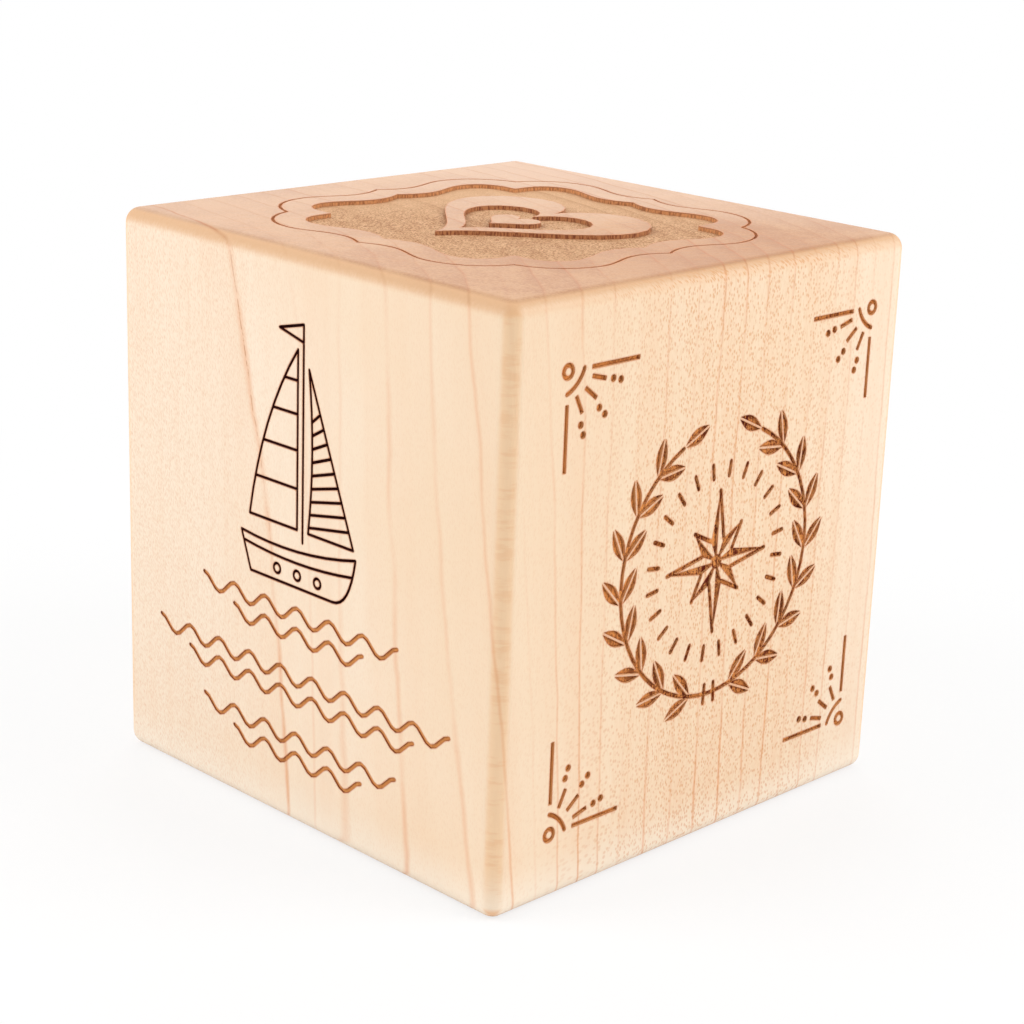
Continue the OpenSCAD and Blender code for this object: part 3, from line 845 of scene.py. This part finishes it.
# %% Maple recipe
SHOULDER_TURN = (0.0, 0.4)
SHOULDER_SHARE = 0.5
HALO = shade(206, 126, 74)
HALO_REACH = 0.3
HALO_TURN = (0.1, 0.5)
HALO_SHARE = 0.8
BURN_TURN = (0.03, 0.1)
DULL_TURN = (0.2, 0.8)
DULLNESS = (0.4, 0.55)
END_DULLER = 0.16
FIBRE_DEPTH = 0.04


def maple():
    """Side grain and end grain, ring lines and flecks over both, and burnt walls below the surface."""
    wood = Recipe("maple")
    rings, from_pith = growth(wood)
    strength = ring_strength(wood, rings)
    dashes, soft = ring_ends(wood, rings, from_pith, strength)
    late = late_wood(wood, rings, strength)
    depth, edge, corner = block_shape(wood)
    fibre = fibres(wood)
    streak = streaks(wood)
    lively = liveliness(wood)
    lying = follows_rays(wood, from_pith)
    ends = end_share(wood, fibre)
    up = wood.parts(wood.normal)[2]

    specks = wood.sum("MULTIPLY", wood.fade(fibre, *SPECK_TURN), lively)
    bands = wood.sum("MULTIPLY", wood.fade(streak, *STREAK_TURN), lively)
    sides = side_grain(wood, rings, late, bands, specks, edge)
    sides = burnished(wood, sides, edge, corner, lying)
    # Sides that turn upwards take the roundings' lighter tan, which is partly painted sheen.
    sides = wood.tint(wood.fade(up, *SHOULDER_TURN, 0.0, SHOULDER_SHARE), sides, END_ROUND_AND_SHEEN)
    colour = wood.tint(ends, sides, end_grain(wood, late, up))
    colour = ring_lines(wood, colour, dashes, soft, lively, ends)
    colour = flecked(wood, colour, ray_flecks(wood, from_pith, streak), lively, lying, ends)

    halo = wood.fade(wood.near(HALO_REACH, rim=True), *HALO_TURN, 0.0, HALO_SHARE)
    colour = wood.tint(halo, colour, HALO)
    colour = wood.tint(wood.fade(depth, *BURN_TURN), colour, burnt_walls(wood, lively, fibre))
    wood.feed(wood.finish.inputs["Base Color"], colour)
    dull = wood.sum("MULTIPLY_ADD", ends, END_DULLER, wood.fade(fibre, *DULL_TURN, *DULLNESS))
    wood.feed(wood.finish.inputs["Roughness"], dull)
    wood.roughen(fibre, FIBRE_DEPTH)
    return wood.material


finishes = {"maple": maple()}
print("nodes in the maple:", len(finishes["maple"].node_tree.nodes))

# %% [markdown]
# Burnt floors
#
# The burning leaves a thin charred skin on the floor of every engraving. How dark it is depends on how
# slowly the beam went: nearly black for the fine drawing, golden for the ripples, mid-brown and mottled for
# the broad ornaments, and a light, sandy tan for the wide field of the plaque. They are one recipe with
# different colours, because the same fibres run through all of them: soft wood burns away and hard fibres
# stay, so the colour changes in upright streaks. Painted shade darkens every floor close to its walls.

# %% Burnt recipe
BURNS = {
    "burnt_field": {
        "colour": shade(225, 180, 138), "dark": shade(160, 101, 54), "turn": (0.42, 0.66),
        "blotch": 0.15, "sparkle": 0.06, "shine": 0.2,
    },
    "burnt_ornament": {
        "colour": shade(240, 160, 88), "dark": shade(100, 24, 2), "turn": (0.43, 0.63),
        "blotch": 0.9, "sparkle": 0.0, "shine": 0.2,
    },
    "charred_line": {
        "colour": shade(60, 11, 7), "dark": shade(30, 5, 4), "turn": (0.36, 0.72),
        "blotch": 0.5, "sparkle": 0.0, "shine": 0.1,
    },
    "scorched_line": {
        "colour": shade(236, 160, 92), "dark": shade(124, 44, 12), "turn": (0.36, 0.72),
        "blotch": 0.5, "sparkle": 0.0, "shine": 0.2,
    },
}
SAND_SCALE = 3.2
BLOTCH_SCALE = 0.4
BLOTCH_SIZE = (1, 1, 0.5)
FIBRE_MOTTLE = 0.7
LATE_BURN = 0.35
# Painted shade on the floors near their walls.
SHADE_REACH = 0.45
SHADE_TURN = (0.1, 0.5)
SHADE_SHARE = 0.55
SPARKLE = shade(246, 212, 170)
SPARKLE_SCALE = 2.0
SPARKLE_EDGE = (0.1, 0.4)
BURNT_ROUGHNESS = 0.78
BURNT_DEPTH = 0.2


def burnt(name, look):
    """Burnt wood, darker in blotches and streaks, with a few bright grains where the look has them."""
    skin = Recipe(name)
    rings, _ = growth(skin)
    late = late_wood(skin, rings, ring_strength(skin, rings))
    sand = skin.cloud(skin.place, SAND_SCALE, **SANDY)
    blotch = skin.cloud(skin.arrow("MULTIPLY", skin.place, BLOTCH_SIZE), BLOTCH_SCALE, **FINE)
    mottle = skin.sum("MULTIPLY_ADD", skin.swing(fibres(skin)), FIBRE_MOTTLE, sand)
    mottle = skin.sum("MULTIPLY_ADD", skin.swing(blotch), look["blotch"], mottle)
    mottle = skin.sum("MULTIPLY", skin.fade(mottle, *look["turn"]), liveliness(skin))
    colour = skin.tint(mottle, look["colour"], look["dark"])
    colour = skin.tint(skin.sum("MULTIPLY", late, LATE_BURN), colour, look["dark"])
    # Painted shade: the floor darkens close to its walls, where their shade falls.
    painted_shade = skin.fade(skin.near(SHADE_REACH, rim=False), *SHADE_TURN, 0.0, SHADE_SHARE)
    colour = skin.tint(painted_shade, colour, look["dark"])
    if look["sparkle"]:
        distance, lot = skin.cells(skin.arrow("SCALE", skin.place, scale=SPARKLE_SCALE))
        sparkle = skin.fade(distance, *SPARKLE_EDGE, 1.0, 0.0)
        sparkle = skin.sum("MULTIPLY", sparkle, skin.sum("LESS_THAN", lot, look["sparkle"]))
        colour = skin.tint(sparkle, colour, SPARKLE)

    skin.feed(skin.finish.inputs["Base Color"], colour)
    skin.finish.inputs["Roughness"].default_value = BURNT_ROUGHNESS
    skin.finish.inputs["Specular IOR Level"].default_value = look["shine"]
    skin.roughen(sand, BURNT_DEPTH)
    return skin.material


for name, look in BURNS.items():
    finishes[name] = burnt(name, look)
print("burnt finishes:", ", ".join(BURNS))

# %% Put every finish on its piece
slot_of = {row["node"]: row["material_slot"] for row in frame["record"]["subparts"]}
for node_name, slot_name in slot_of.items():
    for slot in nodes[node_name].material_slots:
        slot.material = finishes[slot_name]
print("finishes:", slot_of)

# %% [markdown] The looks must not change the size: the box of what is shown
# has to be the box of the solids.
